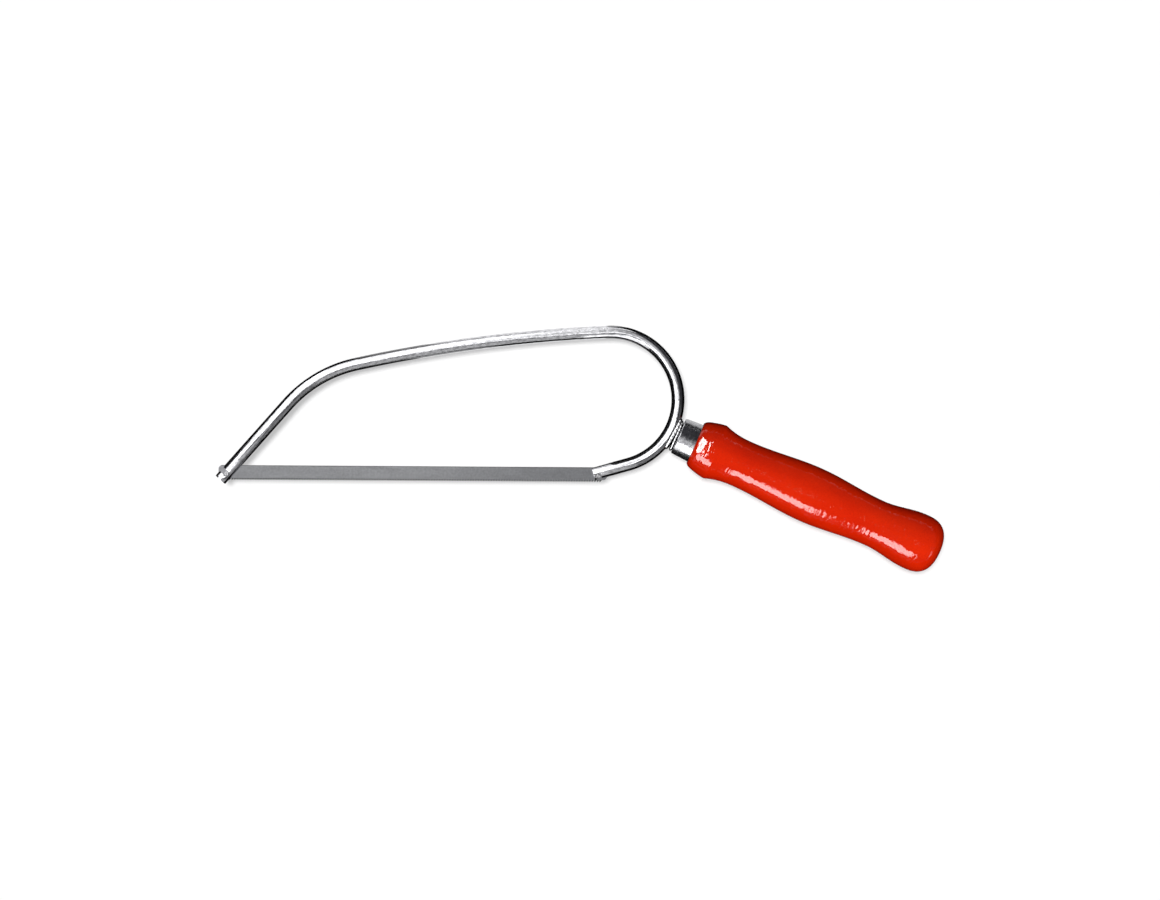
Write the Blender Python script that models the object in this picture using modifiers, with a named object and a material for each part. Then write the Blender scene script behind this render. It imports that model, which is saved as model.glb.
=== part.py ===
"""Mini hacksaw: a sprung rod bow, a pinned blade and a turned handle on a welded tang.

The saw lies on its side. X runs along the blade from the nose to the handle, Y from the teeth
towards the back of the bow, and Z is square to the plane of the saw. Plane coordinates start at
the front blade pin; the finished saw is moved so that the middle of its underside is at the origin.
"""

from math import acos, atan2, ceil, cos, floor, pi, radians, sin, sqrt, tau

import bmesh
import bpy
from mathutils import Vector

MM = 0.001

# Blade: punched steel strip with a toothed lower edge and a riveted cross pin near each end
BLADE_LENGTH = 150.0 * MM
BLADE_WIDTH = 5.8 * MM
BLADE_THICKNESS = 0.65 * MM
BLADE_CORNER_RADIUS = 1.5 * MM
TOOTH_PITCH = 1.0 * MM
TOOTH_DEPTH = 0.5 * MM
TOOTH_LEAN = 0.15 * MM
PIN_DIAMETER = 1.9 * MM
PIN_LENGTH = 4.6 * MM
PIN_EDGE = 0.2 * MM
PIN_INSET = 3.3 * MM
PIN_TO_BACK = 3.3 * MM
PIN_RIVET_GAP = 0.05 * MM

# Bow: one length of round spring rod, bent, with both ends slotted and cross-notched
ROD_DIAMETER = 5.0 * MM
ARM_ANGLE = radians(48.7)
ARM_LENGTH = 35.6 * MM
FRONT_BEND_RADIUS = 49.3 * MM
TOP_BAR_RADIUS = 567.0 * MM
LOOP_RADIUS = 26.0 * MM
TAIL_ANGLE = radians(16.0)
TAIL_LENGTH = 12.5 * MM
FRONT_PIN_OFFSET = 0.35 * MM
REAR_PIN_OFFSET = 1.2 * MM
FRONT_LUG = 3.4 * MM
REAR_LUG = 2.2 * MM
SLOT_CLEARANCE = 0.1 * MM
SLOT_END_GAP = 0.5 * MM
NOTCH_CLEARANCE = 0.1 * MM

# Handle line: where the tang is welded on the loop, and the way the handle points
WELD_LOOP_ANGLE = radians(-28.4)
HANDLE_ANGLE = radians(-23.7)
WELD_ROOT = 0.4 * MM
WELD_LENGTH = 12.6 * MM
WELD_HEIGHT = 4.8 * MM
WELD_LEG = 1.6 * MM
TANG_DIAMETER = 5.0 * MM
TANG_LENGTH = 72.0 * MM
TANG_TIP_DIAMETER = 2.4 * MM
TANG_TAPER = 14.0 * MM
FERRULE_LENGTH = 8.0 * MM
FERRULE_FRONT_DIAMETER = 14.4 * MM
FERRULE_REAR_DIAMETER = 15.4 * MM
FERRULE_WALL = 0.8 * MM
FERRULE_EDGE_RADIUS = 1.0 * MM
SEAT_GAP = 0.1 * MM

# Handle: turned wood, given as the run and the diameter of each swell and waist in turn
HANDLE_FACE_DIAMETER = 16.8 * MM
COLLAR_RUN = 8.1 * MM
COLLAR_DIAMETER = 22.2 * MM
NECK_RUN = 11.6 * MM
NECK_DIAMETER = 18.5 * MM
BELLY_RUN = 28.9 * MM
BELLY_DIAMETER = 22.0 * MM
WAIST_RUN = 27.1 * MM
WAIST_DIAMETER = 18.5 * MM
BULB_RUN = 17.4 * MM
BULB_DIAMETER = 22.5 * MM
BUTT_RUN = 10.0 * MM
COLLAR_POWER = 2.3
BUTT_POWER = 2.6

# Fineness of the facets
FACET_TOLERANCE = 0.02 * MM
ROD_BEVEL_RESOLUTION = 8
TURNED_STEPS = 32
PIN_STEPS = 24
CORNER_STEPS = 6
CONTOUR_STEPS = 8
WELD_FACETS = 24
MERGE_DISTANCE = 0.001 * MM


def unit(angle):
    return Vector((cos(angle), sin(angle)))


def left_of(direction):
    return Vector((-direction.y, direction.x))


def angle_of(direction):
    return atan2(direction.y, direction.x)


# Places in the plane of the saw
PIN_SPACING = BLADE_LENGTH - 2 * PIN_INSET
FRONT_PIN = Vector((0.0, 0.0))
REAR_PIN = Vector((PIN_SPACING, 0.0))
ARM = unit(ARM_ANGLE)
ARM_INSIDE = -left_of(ARM)
TAIL = unit(TAIL_ANGLE)
TAIL_INSIDE = left_of(TAIL)
ARM_FOOT = FRONT_PIN - FRONT_PIN_OFFSET * ARM_INSIDE
TAIL_FOOT = REAR_PIN + REAR_PIN_OFFSET * TAIL_INSIDE
BEND_CENTRE = ARM_FOOT + ARM_LENGTH * ARM + FRONT_BEND_RADIUS * ARM_INSIDE
LOOP_CENTRE = TAIL_FOOT + TAIL_LENGTH * TAIL + LOOP_RADIUS * TAIL_INSIDE
WELD_POINT = LOOP_CENTRE + LOOP_RADIUS * unit(WELD_LOOP_ANGLE)

# Places along the handle line, counted from the middle of the rod
FERRULE_FRONT = ROD_DIAMETER / 2 + WELD_ROOT
HANDLE_FACE = FERRULE_FRONT + FERRULE_LENGTH


def clear_scene():
    for old in list(bpy.data.objects):
        bpy.data.objects.remove(old, do_unlink=True)


def new_collection(name):
    collection = bpy.data.collections.new(name)
    bpy.context.scene.collection.children.link(collection)
    return collection


def new_empty(name, location=(0.0, 0.0, 0.0), rotation=(0.0, 0.0, 0.0), parent=None):
    empty = bpy.data.objects.new(name, None)
    empty.location = location
    empty.rotation_euler = rotation
    empty.parent = parent
    PARTS.objects.link(empty)
    return empty


def new_material(name, colour, roughness, metallic):
    material = bpy.data.materials.new(name)
    material.use_nodes = True
    shader = material.node_tree.nodes["Principled BSDF"]
    shader.inputs["Base Color"].default_value = (*colour, 1.0)
    shader.inputs["Roughness"].default_value = roughness
    shader.inputs["Metallic"].default_value = metallic
    return material


def add_part(name, mesh, material, parent):
    part = bpy.data.objects.new(name, mesh)
    mesh.materials.append(material)
    mesh.shade_smooth()
    mesh.set_sharp_from_angle(angle=radians(35.0))
    part.parent = parent
    PARTS.objects.link(part)
    return part


def add_cutter(name, mesh, parent):
    cutter = bpy.data.objects.new(name, mesh)
    cutter.parent = parent
    cutter.hide_render = True
    cutter.display_type = "WIRE"
    CUTTERS.objects.link(cutter)
    return cutter


def cut(part, cutter):
    boolean = part.modifiers.new(cutter.name, "BOOLEAN")
    boolean.operation = "DIFFERENCE"
    boolean.solver = "EXACT"
    boolean.object = cutter


def mesh_from_curve(curve):
    """The curve as a closed mesh with its caps welded on."""
    drawn = bpy.data.objects.new(curve.name, curve)
    CUTTERS.objects.link(drawn)
    view = bpy.context.evaluated_depsgraph_get()
    mesh = bpy.data.meshes.new_from_object(drawn.evaluated_get(view))
    bpy.data.objects.remove(drawn, do_unlink=True)
    bpy.data.curves.remove(curve)
    welded = bmesh.new()
    welded.from_mesh(mesh)
    bmesh.ops.remove_doubles(welded, verts=welded.verts, dist=MERGE_DISTANCE)
    bmesh.ops.recalc_face_normals(welded, faces=welded.faces)
    welded.to_mesh(mesh)
    welded.free()
    return mesh


def add_polyline(curve, points, cyclic):
    spline = curve.splines.new("POLY")
    spline.points.add(len(points) - 1)
    for point, place in zip(spline.points, points):
        point.co = (place.x, place.y, 0.0, 1.0)
    spline.use_cyclic_u = cyclic


def swept_rod(name, points, radius):
    """A round rod of the given radius along points in the plane of the saw."""
    curve = bpy.data.curves.new(name, "CURVE")
    curve.dimensions = "3D"
    curve.twist_mode = "Z_UP"
    curve.bevel_depth = radius
    curve.bevel_resolution = ROD_BEVEL_RESOLUTION
    curve.use_fill_caps = True
    add_polyline(curve, points, False)
    return mesh_from_curve(curve)


def flat_plate(name, outlines, thickness):
    """A plate, level in Z, whose first outline is its edge and whose others are holes."""
    curve = bpy.data.curves.new(name, "CURVE")
    curve.dimensions = "2D"
    curve.fill_mode = "BOTH"
    curve.extrude = thickness / 2
    for outline in outlines:
        add_polyline(curve, outline, True)
    return mesh_from_curve(curve)


def block(name, low, high, height, placed):
    """A box between two plane corners, centred in Z, with its corners moved by placed()."""
    shape = bmesh.new()
    bmesh.ops.create_cube(shape, size=1.0)
    for corner in shape.verts:
        along = low.x if corner.co.x < 0 else high.x
        across = low.y if corner.co.y < 0 else high.y
        place = placed(along, across)
        corner.co = (place.x, place.y, corner.co.z * height)
    mesh = bpy.data.meshes.new(name)
    shape.to_mesh(mesh)
    shape.free()
    return mesh


def turned(name, profile, closed, material, parent):
    """A piece turned about its Z axis from (radius, height) points listed down its outer side."""
    mesh = bpy.data.meshes.new(name)
    count = len(profile)
    edges = [(index, (index + 1) % count) for index in range(count if closed else count - 1)]
    mesh.from_pydata([(radius, 0.0, height) for radius, height in profile], edges, [])
    part = add_part(name, mesh, material, parent)
    screw = part.modifiers.new("turn", "SCREW")
    screw.axis = "Z"
    screw.angle = tau
    screw.steps = TURNED_STEPS
    screw.render_steps = TURNED_STEPS
    screw.use_merge_vertices = True
    screw.merge_threshold = MERGE_DISTANCE
    return part


def arc(centre, radius, start, end, steps=None):
    """Points on an arc from one angle to another, with a step that keeps to the facet tolerance."""
    if steps is None:
        widest = 2 * acos(1 - FACET_TOLERANCE / radius)
        steps = ceil(abs(end - start) / widest)
    return [centre + radius * unit(start + (end - start) * step / steps) for step in range(steps + 1)]


def bar_centre():
    """Centre of the slow curve of the top bar, which runs smoothly into the bend and the loop."""
    reach_bend = TOP_BAR_RADIUS - FRONT_BEND_RADIUS
    reach_loop = TOP_BAR_RADIUS - LOOP_RADIUS
    across = LOOP_CENTRE - BEND_CENTRE
    span = across.length
    along = (reach_bend**2 - reach_loop**2 + span**2) / (2 * span)
    below = sqrt(reach_bend**2 - along**2)
    return BEND_CENTRE + across / span * along - left_of(across / span) * below


def bow_line():
    """Centre line of the bow from the nose, over the back and round the loop, to the rear end."""
    centre = bar_centre()
    bar_start = angle_of(BEND_CENTRE - centre)
    bar_end = angle_of(LOOP_CENTRE - centre)
    points = [ARM_FOOT - FRONT_LUG * ARM]
    points += arc(BEND_CENTRE, FRONT_BEND_RADIUS, ARM_ANGLE + pi / 2, bar_start)
    points += arc(centre, TOP_BAR_RADIUS, bar_start, bar_end)[1:]
    points += arc(LOOP_CENTRE, LOOP_RADIUS, bar_end, TAIL_ANGLE - pi / 2)[1:]
    points.append(TAIL_FOOT - REAR_LUG * TAIL)
    return points


def pin_notch(name, pin, outwards):
    """A notch across the rod, round at the pin and open on the outer side of the rod."""
    radius = PIN_DIAMETER / 2 + NOTCH_CLEARANCE
    middle = angle_of(outwards)
    seat = arc(pin, radius, middle + pi / 2, middle + 3 * pi / 2, PIN_STEPS // 2)
    outline = [seat[0] + 2 * ROD_DIAMETER * outwards, *seat, seat[-1] + 2 * ROD_DIAMETER * outwards]
    return flat_plate(name, [outline], 2 * ROD_DIAMETER)


def blade_slot(name, foot, along, lug, reach):
    """A slot in the plane of the blade, from past the end of the rod to reach beyond the pin."""
    low = Vector((-lug - ROD_DIAMETER, -ROD_DIAMETER))
    high = Vector((reach, ROD_DIAMETER))
    width = BLADE_THICKNESS + 2 * SLOT_CLEARANCE

    def placed(forward, sideways):
        return foot + forward * along + sideways * left_of(along)

    return block(name, low, high, width, placed)


def build_bow(saw):
    bow = add_part("bow", swept_rod("bow", bow_line(), ROD_DIAMETER / 2), PLATED_STEEL, saw)

    # The back of the blade leaves the arm on its inner side, which sets the depth of the slot.
    inner_side = ROD_DIAMETER / 2 - FRONT_PIN_OFFSET
    front_reach = (PIN_TO_BACK + inner_side * cos(ARM_ANGLE)) / sin(ARM_ANGLE) + SLOT_END_GAP
    # The end of the blade swings past the bottom of the rear slot.
    corner = Vector((PIN_INSET, max(PIN_TO_BACK, BLADE_WIDTH - PIN_TO_BACK)))
    round_middle = corner - Vector((BLADE_CORNER_RADIUS, BLADE_CORNER_RADIUS))
    rear_reach = round_middle.length + BLADE_CORNER_RADIUS + SLOT_END_GAP

    cutters = {
        "front_slot": blade_slot("front_slot", ARM_FOOT, ARM, FRONT_LUG, front_reach),
        "rear_slot": blade_slot("rear_slot", TAIL_FOOT, TAIL, REAR_LUG, rear_reach),
        "front_notch": pin_notch("front_notch", FRONT_PIN, -ARM_INSIDE),
        "rear_notch": pin_notch("rear_notch", REAR_PIN, -TAIL_INSIDE),
    }
    for name, mesh in cutters.items():
        cut(bow, add_cutter(name, mesh, saw))


def blade_outline():
    """Edge of the blade about its rear pin: the back, the rounded rear end, the teeth, the nose."""
    front = -PIN_SPACING - PIN_INSET
    back = PIN_TO_BACK
    tips = PIN_TO_BACK - BLADE_WIDTH
    roots = tips + TOOTH_DEPTH
    radius = BLADE_CORNER_RADIUS
    left, right = front + radius, PIN_INSET - radius
    outline = arc(Vector((left, back - radius)), radius, pi, pi / 2, CORNER_STEPS)
    outline += arc(Vector((right, back - radius)), radius, pi / 2, 0.0, CORNER_STEPS)
    outline += arc(Vector((right, tips + radius)), radius, 0.0, -pi / 2, CORNER_STEPS)
    teeth = floor((right - left) / TOOTH_PITCH) - 1
    last_root = (left + right + teeth * TOOTH_PITCH) / 2
    for tooth in range(teeth):
        root = last_root - tooth * TOOTH_PITCH
        outline.append(Vector((root, roots)))
        outline.append(Vector((root - TOOTH_PITCH + TOOTH_LEAN, tips)))
    outline.append(Vector((last_root - teeth * TOOTH_PITCH, roots)))
    outline += arc(Vector((left, tips + radius)), radius, -pi / 2, -pi, CORNER_STEPS)
    return outline


def build_blade(pivot):
    front_hole = FRONT_PIN - REAR_PIN
    rear_hole = REAR_PIN - REAR_PIN
    hole_radius = PIN_DIAMETER / 2 + PIN_RIVET_GAP
    around = tau * (1 - 1 / PIN_STEPS)
    holes = [arc(pin, hole_radius, 0.0, around, PIN_STEPS - 1) for pin in (front_hole, rear_hole)]
    strip = flat_plate("saw_blade", [blade_outline(), *holes], BLADE_THICKNESS)
    add_part("saw_blade", strip, BLADE_STEEL, pivot)

    for name, pin in (("front_blade_pin", front_hole), ("rear_blade_pin", rear_hole)):
        shape = bmesh.new()
        bmesh.ops.create_cone(
            shape,
            cap_ends=True,
            segments=PIN_STEPS,
            radius1=PIN_DIAMETER / 2,
            radius2=PIN_DIAMETER / 2,
            depth=PIN_LENGTH,
        )
        mesh = bpy.data.meshes.new(name)
        shape.to_mesh(mesh)
        shape.free()
        part = add_part(name, mesh, PIN_STEEL, pivot)
        part.location = (pin.x, pin.y, 0.0)
        rounded = part.modifiers.new("rounded ends", "BEVEL")
        rounded.width = PIN_EDGE
        rounded.segments = 2
        rounded.limit_method = "ANGLE"


def build_weld(saw, handle_line):
    """A fillet of weld metal in the groove between the rod and the front of the ferrule."""
    flat = FERRULE_FRONT - SEAT_GAP
    bead = bmesh.new()
    bmesh.ops.create_uvsphere(bead, u_segments=WELD_FACETS, v_segments=WELD_FACETS // 2, radius=1.0)
    for vertex in bead.verts:
        side, length, depth = vertex.co.x, vertex.co.z, vertex.co.y
        vertex.co = (side * WELD_HEIGHT / 2, length * WELD_LENGTH / 2, flat + depth * WELD_LEG)
    bmesh.ops.recalc_face_normals(bead, faces=bead.faces)
    mesh = bpy.data.meshes.new("weld_bead")
    bead.to_mesh(mesh)
    bead.free()
    part = add_part("weld_bead", mesh, WELD_STEEL, handle_line)

    room = swept_rod("weld_rod_room", bow_line(), ROD_DIAMETER / 2 + SEAT_GAP)
    cut(part, add_cutter("weld_rod_room", room, saw))
    low = Vector((-WELD_LENGTH, -WELD_LENGTH))
    behind = block("weld_ferrule_room", low, -low, WELD_LENGTH, lambda along, across: Vector((along, across)))
    ferrule_room = add_cutter("weld_ferrule_room", behind, handle_line)
    ferrule_room.location.z = flat + WELD_LENGTH / 2
    cut(part, ferrule_room)


def build_tang(handle_line):
    end = FERRULE_FRONT + TANG_LENGTH
    profile = [
        (0.0, end),
        (TANG_TIP_DIAMETER / 2, end),
        (TANG_DIAMETER / 2, end - TANG_TAPER),
        (TANG_DIAMETER / 2, FERRULE_FRONT),
        (0.0, FERRULE_FRONT),
    ]
    turned("tang", profile, False, TANG_STEEL, handle_line)


def ferrule_radius(height):
    """Outer radius of the ferrule's cone at a height on the handle line."""
    share = (height - FERRULE_FRONT) / FERRULE_LENGTH
    return (FERRULE_FRONT_DIAMETER + (FERRULE_REAR_DIAMETER - FERRULE_FRONT_DIAMETER) * share) / 2


def build_ferrule(handle_line):
    """A drawn steel cup with a hole for the tang, pressed over the spigot of the handle."""
    hole = TANG_DIAMETER / 2 + SEAT_GAP
    rear = HANDLE_FACE - SEAT_GAP
    inside_front = FERRULE_FRONT + FERRULE_WALL
    edge = FERRULE_EDGE_RADIUS
    edge_top = FERRULE_FRONT + edge
    edge_centre = Vector((ferrule_radius(edge_top) - edge, edge_top))
    profile = [(ferrule_radius(rear), rear)]
    profile += [(point.x, point.y) for point in arc(edge_centre, edge, 0.0, -pi / 2, CORNER_STEPS)]
    profile += [
        (hole, FERRULE_FRONT),
        (hole, inside_front),
        (ferrule_radius(inside_front) - FERRULE_WALL, inside_front),
        (ferrule_radius(rear) - FERRULE_WALL, rear),
    ]
    turned("ferrule", profile, True, FERRULE_STEEL, handle_line)


def handle_contour():
    """(radius, height) points of the turned wood from its front face to its butt."""

    def sharp(share):
        return 1 - (1 - share) ** COLLAR_POWER

    def wave(share):
        return (1 - cos(pi * share)) / 2

    def blunt(share):
        return 1 - (1 - share**BUTT_POWER) ** (1 / BUTT_POWER)

    stretches = [
        (COLLAR_RUN, COLLAR_DIAMETER, sharp),
        (NECK_RUN, NECK_DIAMETER, sharp),
        (BELLY_RUN, BELLY_DIAMETER, wave),
        (WAIST_RUN, WAIST_DIAMETER, wave),
        (BULB_RUN, BULB_DIAMETER, wave),
        (BUTT_RUN, 0.0, blunt),
    ]
    height, diameter = HANDLE_FACE, HANDLE_FACE_DIAMETER
    contour = [(diameter / 2, height)]
    for run, next_diameter, ease in stretches:
        for step in range(1, CONTOUR_STEPS + 1):
            share = step / CONTOUR_STEPS
            if ease is blunt:
                share = sin(share * pi / 2)
            radius = (diameter + (next_diameter - diameter) * ease(share)) / 2
            contour.append((radius, height + run * share))
        height += run
        diameter = next_diameter
    return contour


def build_handle(handle_line):
    """Turned wood with a spigot for the ferrule and a blind bore for the tang."""
    bore = TANG_DIAMETER / 2 + SEAT_GAP
    bore_end = FERRULE_FRONT + TANG_LENGTH + SEAT_GAP
    spigot_front = FERRULE_FRONT + FERRULE_WALL + SEAT_GAP
    inside_ferrule = FERRULE_WALL + SEAT_GAP
    profile = list(reversed(handle_contour()))
    profile += [
        (ferrule_radius(HANDLE_FACE) - inside_ferrule, HANDLE_FACE),
        (ferrule_radius(spigot_front) - inside_ferrule, spigot_front),
        (bore, spigot_front),
        (bore, bore_end),
        (0.0, bore_end),
    ]
    turned("handle", profile, False, RED_LACQUER, handle_line)


def set_on_origin(saw):
    """Move the saw so that the middle of the underside of its box is the origin."""
    bpy.context.view_layer.update()
    view = bpy.context.evaluated_depsgraph_get()
    corners = []
    for part in PARTS.objects:
        if part.type == "MESH":
            shape = part.evaluated_get(view)
            corners += [shape.matrix_world @ vertex.co for vertex in shape.data.vertices]
    low = Vector([min(corner[axis] for corner in corners) for axis in range(3)])
    high = Vector([max(corner[axis] for corner in corners) for axis in range(3)])
    saw.location = (-(low.x + high.x) / 2, -(low.y + high.y) / 2, -low.z)
    bpy.context.view_layer.update()


clear_scene()
PARTS = new_collection("mini_hacksaw")
CUTTERS = new_collection("mini_hacksaw_cutters")

PLATED_STEEL = new_material("plated_steel", (0.72, 0.73, 0.75), 0.22, 1.0)
BLADE_STEEL = new_material("blade_steel", (0.27, 0.28, 0.30), 0.45, 1.0)
PIN_STEEL = new_material("pin_steel", (0.62, 0.63, 0.65), 0.30, 1.0)
WELD_STEEL = new_material("weld_steel", (0.60, 0.61, 0.63), 0.35, 1.0)
TANG_STEEL = new_material("tang_steel", (0.45, 0.45, 0.46), 0.50, 1.0)
FERRULE_STEEL = new_material("ferrule_steel", (0.70, 0.71, 0.73), 0.20, 1.0)
RED_LACQUER = new_material("red_lacquer", (0.70, 0.02, 0.004), 0.18, 0.0)

saw = new_empty("saw")
blade_pivot = new_empty("blade_pivot", (REAR_PIN.x, REAR_PIN.y, 0.0), parent=saw)
handle_line = new_empty(
    "handle_line", (WELD_POINT.x, WELD_POINT.y, 0.0), (0.0, pi / 2, HANDLE_ANGLE), saw
)
build_bow(saw)
build_blade(blade_pivot)
build_weld(saw, handle_line)
build_tang(handle_line)
build_ferrule(handle_line)
build_handle(handle_line)
set_on_origin(saw)
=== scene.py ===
from math import atan2, cos, floor, pi, radians, sin, sqrt, tau

import bmesh
import bpy
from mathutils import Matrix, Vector


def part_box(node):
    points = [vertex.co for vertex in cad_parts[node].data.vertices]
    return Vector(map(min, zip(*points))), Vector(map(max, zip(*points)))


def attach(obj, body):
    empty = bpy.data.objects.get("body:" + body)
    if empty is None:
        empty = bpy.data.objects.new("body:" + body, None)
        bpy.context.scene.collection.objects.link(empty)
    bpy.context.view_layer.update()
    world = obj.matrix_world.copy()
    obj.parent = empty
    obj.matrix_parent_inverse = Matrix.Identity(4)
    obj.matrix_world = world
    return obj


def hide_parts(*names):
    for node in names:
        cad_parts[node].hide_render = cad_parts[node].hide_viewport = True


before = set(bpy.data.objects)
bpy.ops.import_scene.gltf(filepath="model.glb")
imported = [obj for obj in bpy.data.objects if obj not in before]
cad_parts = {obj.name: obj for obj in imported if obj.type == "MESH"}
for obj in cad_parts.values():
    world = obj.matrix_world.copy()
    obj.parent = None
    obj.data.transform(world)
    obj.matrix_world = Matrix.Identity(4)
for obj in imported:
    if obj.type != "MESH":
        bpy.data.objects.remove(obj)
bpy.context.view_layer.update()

# The bow is one length of round spring rod, bent cold and then bright plated. Both ends are sawn with a
# slot for the blade and a notch across the outer side, where the blade's cross pins hook in.
MM = 0.001
rod_low, rod_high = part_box("bow")
box_margin = 0.01 * MM
rod_diameter = rod_high.z - rod_low.z - box_margin
rod_sides, notch_sides = 64, 32
arm_angle, arm_length = radians(48.7), 35.6 * MM
bend_radius, bend_steps = 49.3 * MM, 28
bar_radius, bar_steps = 567.0 * MM, 32
loop_radius, loop_steps = 26.0 * MM, 80
tail_angle, tail_length = radians(16.0), 12.5 * MM
front_pin_offset, rear_pin_offset = 0.35 * MM, 1.2 * MM
front_lug, rear_lug = 3.4 * MM, 1.7 * MM
front_slot_depth, rear_slot_depth = 7.0 * MM, 4.5 * MM
slot_clearance, notch_clearance = 0.1 * MM, 0.1 * MM
sawn_edge, sawn_steps = 0.12 * MM, 2
sharp_angle, smooth_angle = radians(40.0), radians(35.0)
upright = Vector((0.0, 0.0, 1.0))


def middle_of(node):
    low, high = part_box(node)
    return (low + high) / 2


def unit(angle):
    return Vector((cos(angle), sin(angle), 0.0))


def left_of(direction):
    return Vector((-direction.y, direction.x, 0.0))


def angle_of(direction):
    return atan2(direction.y, direction.x)


def settle(name):
    """Leaves edit mode, names the active piece and puts its place into its mesh."""
    if bpy.context.mode != "OBJECT":
        bpy.ops.object.mode_set(mode="OBJECT")
    piece = bpy.context.object
    piece.name = name
    piece.data.name = name
    bpy.ops.object.select_all(action="DESELECT")
    piece.select_set(True)
    bpy.ops.object.transform_apply(location=True, rotation=True, scale=True)
    return piece


def edit(piece):
    """Opens a piece in edit mode with nothing selected."""
    bpy.ops.object.select_all(action="DESELECT")
    piece.select_set(True)
    bpy.context.view_layer.objects.active = piece
    bpy.ops.object.mode_set(mode="EDIT")
    bpy.ops.mesh.select_mode(type="VERT")
    bpy.ops.mesh.select_all(action="DESELECT")


def pick(piece, chosen):
    """Selects the vertices of the piece in edit mode whose places are chosen, and what they span."""
    bpy.ops.mesh.select_mode(type="VERT")
    bpy.ops.mesh.select_all(action="DESELECT")
    shape = bmesh.from_edit_mesh(piece.data)
    for vertex in shape.verts:
        if chosen(vertex.co):
            vertex.select_set(True)
    shape.select_flush(True)
    bmesh.update_edit_mesh(piece.data)


def cut_away(piece, cutter):
    boolean = piece.modifiers.new("cut", "BOOLEAN")
    boolean.object = cutter
    boolean.solver = "EXACT"
    bpy.ops.object.select_all(action="DESELECT")
    bpy.context.view_layer.objects.active = piece
    bpy.ops.object.modifier_apply(modifier=boolean.name)
    bpy.data.objects.remove(cutter, do_unlink=True)


front_pin = middle_of("front_blade_pin")
rear_pin = middle_of("rear_blade_pin")
arm, tail = unit(arm_angle), unit(tail_angle)
arm_inside, tail_inside = -left_of(arm), left_of(tail)
arm_foot = front_pin - front_pin_offset * arm_inside
tail_foot = rear_pin + rear_pin_offset * tail_inside
bend_centre = arm_foot + arm_length * arm + bend_radius * arm_inside
loop_centre = tail_foot + tail_length * tail + loop_radius * tail_inside

# The slow curve of the top bar runs smoothly into the bend and the loop, which sets its centre.
across = loop_centre - bend_centre
reach_bend, reach_loop = bar_radius - bend_radius, bar_radius - loop_radius
along_span = (reach_bend**2 - reach_loop**2 + across.length**2) / (2 * across.length)
below_span = sqrt(reach_bend**2 - along_span**2)
bar_centre = bend_centre + across.normalized() * along_span - left_of(across.normalized()) * below_span
bend_start = arm_angle + pi / 2
bar_start = angle_of(bend_centre - bar_centre)
loop_start = angle_of(loop_centre - bar_centre)
loop_end = tail_angle - pi / 2

bpy.ops.object.select_all(action="DESELECT")
bpy.ops.mesh.primitive_circle_add(
    vertices=rod_sides,
    radius=rod_diameter / 2,
    fill_type="NGON",
    enter_editmode=True,
    location=arm_foot - front_lug * arm,
    rotation=(0.0, pi / 2, arm_angle),
)
bpy.ops.mesh.extrude_region_move(TRANSFORM_OT_translate={"value": (front_lug + arm_length) * arm})
for steps, sweep, centre in (
    (bend_steps, bend_start - bar_start, bend_centre),
    (bar_steps, bar_start - loop_start, bar_centre),
    (loop_steps, loop_start - loop_end, loop_centre),
):
    bpy.ops.mesh.spin(steps=steps, angle=sweep, center=centre, axis=upright)
bpy.ops.mesh.extrude_region_move(TRANSFORM_OT_translate={"value": -(tail_length + rear_lug) * tail})
bpy.ops.mesh.select_all(action="SELECT")
bpy.ops.mesh.normals_make_consistent(inside=False)
bow = settle("bow_rod")

blade_low, blade_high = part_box("saw_blade")
blade_thickness = blade_high.z - blade_low.z
pin_low, pin_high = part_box("front_blade_pin")
pin_diameter = pin_high.x - pin_low.x
for foot, way, lug, depth in (
    (arm_foot, arm, front_lug, front_slot_depth),
    (tail_foot, tail, rear_lug, rear_slot_depth),
):
    slot_length = lug + rod_diameter + depth
    bpy.ops.mesh.primitive_cube_add(
        size=1.0,
        location=foot + (depth - slot_length / 2) * way,
        rotation=(0.0, 0.0, angle_of(way)),
        scale=(slot_length, 2 * rod_diameter, blade_thickness + 2 * slot_clearance),
    )
    cut_away(bow, settle("slot"))

for pin, outwards in ((front_pin, -arm_inside), (rear_pin, -tail_inside)):
    bpy.ops.mesh.primitive_circle_add(
        vertices=notch_sides,
        radius=pin_diameter / 2 + notch_clearance,
        fill_type="NGON",
        location=pin - rod_diameter * upright,
    )
    notch = settle("notch")
    edit(notch)
    pick(notch, lambda place: (place - pin).dot(outwards) > sawn_edge)
    bpy.ops.transform.translate(value=2 * rod_diameter * outwards)
    bpy.ops.mesh.select_all(action="SELECT")
    bpy.ops.mesh.extrude_region_move(TRANSFORM_OT_translate={"value": 2 * rod_diameter * upright})
    bpy.ops.mesh.select_all(action="SELECT")
    bpy.ops.mesh.normals_make_consistent(inside=False)
    cut_away(bow, settle("notch"))

edit(bow)
bpy.ops.mesh.select_mode(type="EDGE")
bpy.ops.mesh.edges_select_sharp(sharpness=sharp_angle)
bpy.ops.mesh.bevel(offset=sawn_edge, segments=sawn_steps, clamp_overlap=True)
settle("bow_rod")
bpy.ops.object.shade_smooth_by_angle(angle=smooth_angle)

# How far along the rod, from the front pin, the bend, the bar and the loop end.
bend_run = arm_length + bend_radius * (bend_start - bar_start)
bar_run = bend_run + bar_radius * (bar_start - loop_start)
loop_run = bar_run + loop_radius * (loop_start - loop_end)


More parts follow.
